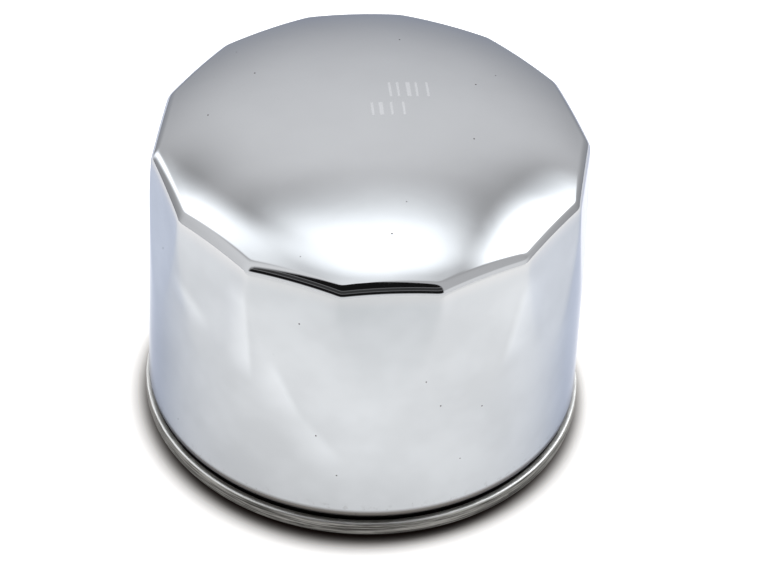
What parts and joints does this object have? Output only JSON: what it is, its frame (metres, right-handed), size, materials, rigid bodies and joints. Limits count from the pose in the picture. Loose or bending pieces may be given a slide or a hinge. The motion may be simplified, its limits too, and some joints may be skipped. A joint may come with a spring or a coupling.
{
  "type": "oil filter",
  "caption": "Short spin-on oil filter: fluted chrome can, rolled seam, sealing gasket, threaded plate, pleated element, bypass and anti-drain-back valves.",
  "frame": {"origin": "centre of the gasket's sealing face, on the can's axis", "axes": "+Z along the can's axis, from the gasket to the dome; the wrench flats are turned so that one corner lies 6.14 degrees off -Y"},
  "size_m": [0.0772, 0.0772, 0.063],
  "materials": {
    "chrome": "bright polished plate",
    "galvanised": "zinc-coated, rolled",
    "plate_steel": "oiled hot-rolled",
    "tinplate": "thin pressed sheet",
    "spring_steel": "oil tempered",
    "nitrile": "moulded, lightly oiled",
    "silicone": "moulded matt",
    "plastisol": "cured potting",
    "paper": "resin-treated filter paper"
  },
  "bodies": {
    "housing": {"can": "chrome", "seaming_lid": "galvanised", "seam_compound": "plastisol", "mounting_gasket": "nitrile", "tapping_plate": "plate_steel", "antidrain_collar": "silicone", "element_spring": "spring_steel"},
    "flap": {"antidrain_flap": "silicone"},
    "element": {"lower_end_cap": "tinplate", "upper_end_cap": "tinplate", "lower_potting": "plastisol", "upper_potting": "plastisol", "pleated_media": "paper", "media_seam_clip": "tinplate", "center_tube": "tinplate", "bypass_cage": "tinplate", "bypass_spring_seat": "tinplate", "bypass_spring": "spring_steel"},
    "bypass_valve": {"bypass_disc": "tinplate", "bypass_seal": "nitrile", "bypass_stem": "spring_steel"}
  },
  "joints": [
    {"name": "antidrain_lift", "type": "slide", "parent": "housing", "child": "flap", "axis": [0, 0, 1], "range_m": [0, 0.0012], "stiffness_N_per_m": 20, "springref_m": -0.001},
    {"name": "element_float", "type": "slide", "parent": "housing", "child": "element", "axis": [0, 0, 1], "range_m": [0, 0.001], "stiffness_N_per_m": 3000, "springref_m": -0.003, "deforming": ["element_spring"]},
    {"name": "bypass_open", "type": "slide", "parent": "element", "child": "bypass_valve", "axis": [0, 0, -1], "range_m": [0, 0.003], "stiffness_N_per_m": 200, "springref_m": -0.003, "deforming": ["bypass_spring"]}
  ]
}
